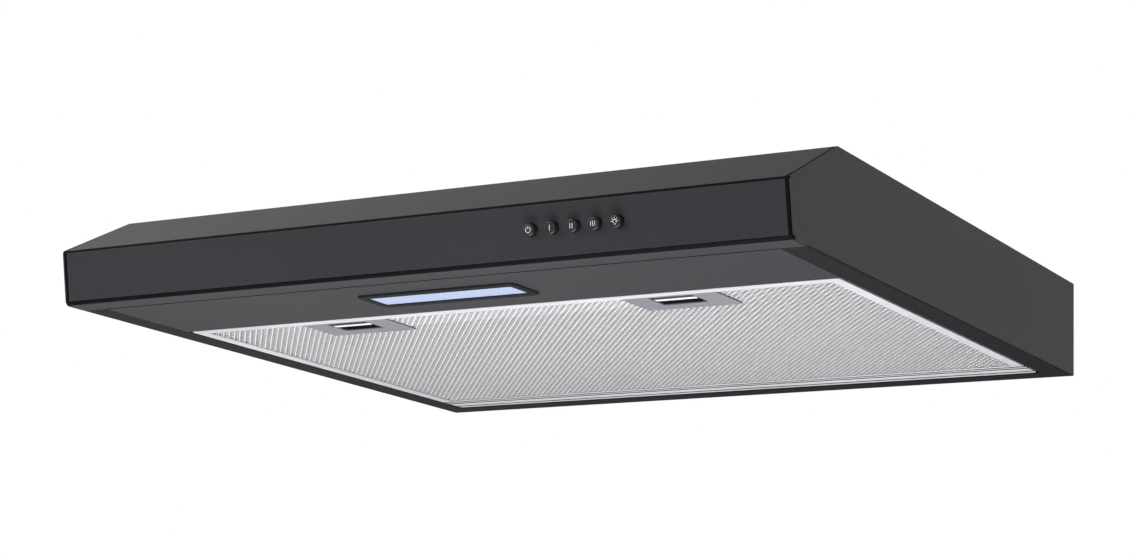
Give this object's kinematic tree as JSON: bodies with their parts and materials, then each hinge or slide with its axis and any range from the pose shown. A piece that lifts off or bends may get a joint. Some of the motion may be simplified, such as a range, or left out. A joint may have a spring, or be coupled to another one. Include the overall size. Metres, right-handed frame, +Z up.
{
  "type": "under cabinet range hood",
  "caption": "Slim under-cabinet range hood with a leaning push-button front, a lamp panel and a drop-down aluminium grease filter over an enclosed blower.",
  "frame": {"origin": "centre of the cabinet screw pattern on the top plate's outer face", "axes": "+X to the hood's right, -Y to the front, +Z up"},
  "size_m": [0.6, 0.5117, 0.1152],
  "materials": {
    "painted_sheet": "satin dark grey powder coat with a fine grain",
    "galvanised": "zinc-plated sheet, matt",
    "fasteners": "zinc-plated",
    "lamp_trim": "smooth satin black",
    "lamp_glow": "frosted, lit cool white",
    "board_white": "white coated board",
    "led_chips": "phosphor yellow",
    "dark_plastic": "moulded black",
    "filter_aluminium": "bright rolled aluminium",
    "filter_mesh": "bright expanded mesh",
    "latch_plate": "moulded grey plastic, fine grain",
    "latch_tab": "bright grey plastic",
    "button_black": "satin black with white marks",
    "contacts": "plated",
    "wheel_plastic": "moulded",
    "motor_steel": "plain steel",
    "rubber_black": "soft black",
    "white_plastic": "moulded white",
    "lead_jacket": "flexible jacket"
  },
  "bodies": {
    "hood": {"blower_floor": "galvanised", "blower_housing": "galvanised", "blower_posts": "galvanised", "blower_screws": "fasteners", "cable_gland": "dark_plastic", "canopy_shell": "painted_sheet", "capacitor": "white_plastic", "capacitor_strap": "galvanised", "collar_flange": "dark_plastic", "collar_screws": "fasteners", "cover_screws": "fasteners", "duct_collar": "dark_plastic", "duct_plenum": "galvanised", "filter_hinge_brackets": "galvanised", "filter_hinge_pins": "galvanised", "inlet_guard": "dark_plastic", "lamp_bezel": "lamp_trim", "lamp_board": "board_white", "lamp_chips": "led_chips", "lamp_diffuser": "lamp_glow", "lamp_housing": "dark_plastic", "lamp_lead": "lead_jacket", "lamp_panel": "painted_sheet", "led_driver": "white_plastic", "mains_lead": "lead_jacket", "motor_body": "motor_steel", "motor_grommets": "rubber_black", "motor_lead": "lead_jacket", "motor_plate": "galvanised", "panel_rivets": "fasteners", "rear_duct_cover": "painted_sheet", "rear_panel": "painted_sheet", "side_panel_left": "painted_sheet", "side_panel_right": "painted_sheet", "switch_bracket": "galvanised", "switch_contacts": "contacts", "switch_housing": "dark_plastic", "switch_lead": "lead_jacket", "terminal_block": "white_plastic", "terminal_box": "galvanised", "terminal_cover": "galvanised"},
    "filter": {"filter_frame": "filter_aluminium", "filter_mesh_lower": "filter_mesh", "filter_core": "filter_mesh", "filter_mesh_upper": "filter_mesh", "latch_plate_left": "latch_plate", "latch_plate_right": "latch_plate"},
    "latch_left": {"latch_slider_left": "latch_tab"},
    "latch_right": {"latch_slider_right": "latch_tab"},
    "fan_wheel": {"impeller": "wheel_plastic", "impeller_disc": "wheel_plastic", "motor_shaft": "motor_steel", "shaft_nut": "fasteners"},
    "damper_front": {"damper_flap_front": "dark_plastic"},
    "damper_rear": {"damper_flap_rear": "dark_plastic"},
    "push_button_1": {"button_1": "button_black"},
    "push_button_2": {"button_2": "button_black"},
    "push_button_3": {"button_3": "button_black"},
    "push_button_4": {"button_4": "button_black"},
    "push_button_5": {"button_5": "button_black"}
  },
  "joints": [
    {"name": "filter_drop", "type": "hinge", "parent": "hood", "child": "filter", "pos_m": [0, 0.194, -0.071], "axis": [1, 0, 0], "range_deg": [0, 80]},
    {"name": "latch_left_slide", "type": "slide", "parent": "filter", "child": "latch_left", "axis": [0, 1, 0], "range_m": [0, 0.006], "stiffness_N_per_m": 400, "springref_m": -0.003},
    {"name": "latch_right_slide", "type": "slide", "parent": "filter", "child": "latch_right", "axis": [0, 1, 0], "range_m": [0, 0.006], "stiffness_N_per_m": 400, "springref_m": -0.003},
    {"name": "fan_spin", "type": "hinge", "parent": "hood", "child": "fan_wheel", "pos_m": [0, -0.05, -0.035], "axis": [0, 0, 1], "continuous": true},
    {"name": "damper_front_swing", "type": "hinge", "parent": "hood", "child": "damper_front", "pos_m": [0, 0.1425, 0.01], "axis": [-1, 0, 0], "range_deg": [0, 80]},
    {"name": "damper_rear_swing", "type": "hinge", "parent": "hood", "child": "damper_rear", "pos_m": [0, 0.1495, 0.01], "axis": [1, 0, 0], "range_deg": [0, 80]},
    {"name": "button_1_press", "type": "slide", "parent": "hood", "child": "push_button_1", "axis": [0, 0.9776, 0.2106], "range_m": [0, 0.0025], "stiffness_N_per_m": 350, "springref_m": -0.002},
    {"name": "button_2_press", "type": "slide", "parent": "hood", "child": "push_button_2", "axis": [0, 0.9776, 0.2106], "range_m": [0, 0.0025], "stiffness_N_per_m": 350, "springref_m": -0.002},
    {"name": "button_3_press", "type": "slide", "parent": "hood", "child": "push_button_3", "axis": [0, 0.9776, 0.2106], "range_m": [0, 0.0025], "stiffness_N_per_m": 350, "springref_m": -0.002},
    {"name": "button_4_press", "type": "slide", "parent": "hood", "child": "push_button_4", "axis": [0, 0.9776, 0.2106], "range_m": [0, 0.0025], "stiffness_N_per_m": 350, "springref_m": -0.002},
    {"name": "button_5_press", "type": "slide", "parent": "hood", "child": "push_button_5", "axis": [0, 0.9776, 0.2106], "range_m": [0, 0.0025], "stiffness_N_per_m": 350, "springref_m": -0.002}
  ]
}
